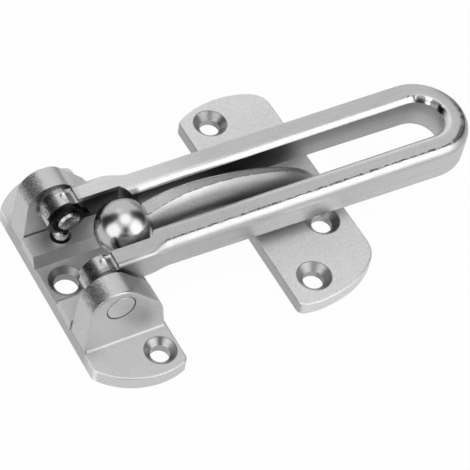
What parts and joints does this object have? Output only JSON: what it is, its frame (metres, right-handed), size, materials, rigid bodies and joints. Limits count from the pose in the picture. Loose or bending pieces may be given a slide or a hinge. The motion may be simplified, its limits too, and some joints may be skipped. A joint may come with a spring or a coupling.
{
  "type": "swing bar door guard",
  "caption": "Satin metal swing bar door guard: a U-shaped bar on a two-eared hinge plate closes over a polished ball carried by a curved horn on a keeper plate.",
  "frame": {"origin": "on the back face of the hinge plate, straight under the pin axis, midway between the ears", "axes": "+X along the closed bar away from the pins, +Y along the pin axis, +Z out of the frame towards the user"},
  "size_m": [0.1294, 0.0755, 0.027],
  "materials": {
    "hinge_plate": "satin brushed nickel plate on a zinc casting",
    "swing_bar": "satin brushed nickel plate on a zinc casting",
    "hinge_pin_near": "plain turned steel, satin plated",
    "hinge_pin_far": "plain turned steel, satin plated",
    "retaining_clip_near": "black oxide spring steel",
    "retaining_clip_far": "black oxide spring steel",
    "detent_plunger_near": "polished steel",
    "detent_plunger_far": "polished steel",
    "detent_spring_near": "bright spring wire",
    "detent_spring_far": "bright spring wire",
    "keeper_plate": "satin brushed nickel plate on a zinc casting",
    "keeper_ball": "polished and bright plated"
  },
  "bodies": {
    "fixed": {"hinge_plate": "hinge_plate", "hinge_pin_near": "hinge_pin_near", "hinge_pin_far": "hinge_pin_far", "retaining_clip_near": "retaining_clip_near", "retaining_clip_far": "retaining_clip_far", "detent_spring_near": "detent_spring_near", "detent_spring_far": "detent_spring_far", "keeper_plate": "keeper_plate", "keeper_ball": "keeper_ball"},
    "bar": {"swing_bar": "swing_bar"},
    "plunger_near": {"detent_plunger_near": "detent_plunger_near"},
    "plunger_far": {"detent_plunger_far": "detent_plunger_far"}
  },
  "joints": [
    {"name": "bar_swing", "type": "hinge", "parent": "fixed", "child": "bar", "pos_m": [0, 0, 0.0183], "axis": [0, -1, 0], "range_deg": [0, 180]},
    {"name": "detent_near_rise", "type": "slide", "parent": "fixed", "child": "plunger_near", "axis": [0, 0, 1], "range_m": [0, 0.0003], "deforming": ["detent_spring_near"]},
    {"name": "detent_far_rise", "type": "slide", "parent": "fixed", "child": "plunger_far", "axis": [0, 0, 1], "range_m": [0, 0.0003], "deforming": ["detent_spring_far"]}
  ],
  "couplings": [
    {"joint": "detent_near_rise", "follows": "detent_far_rise", "ratio": 1}
  ]
}
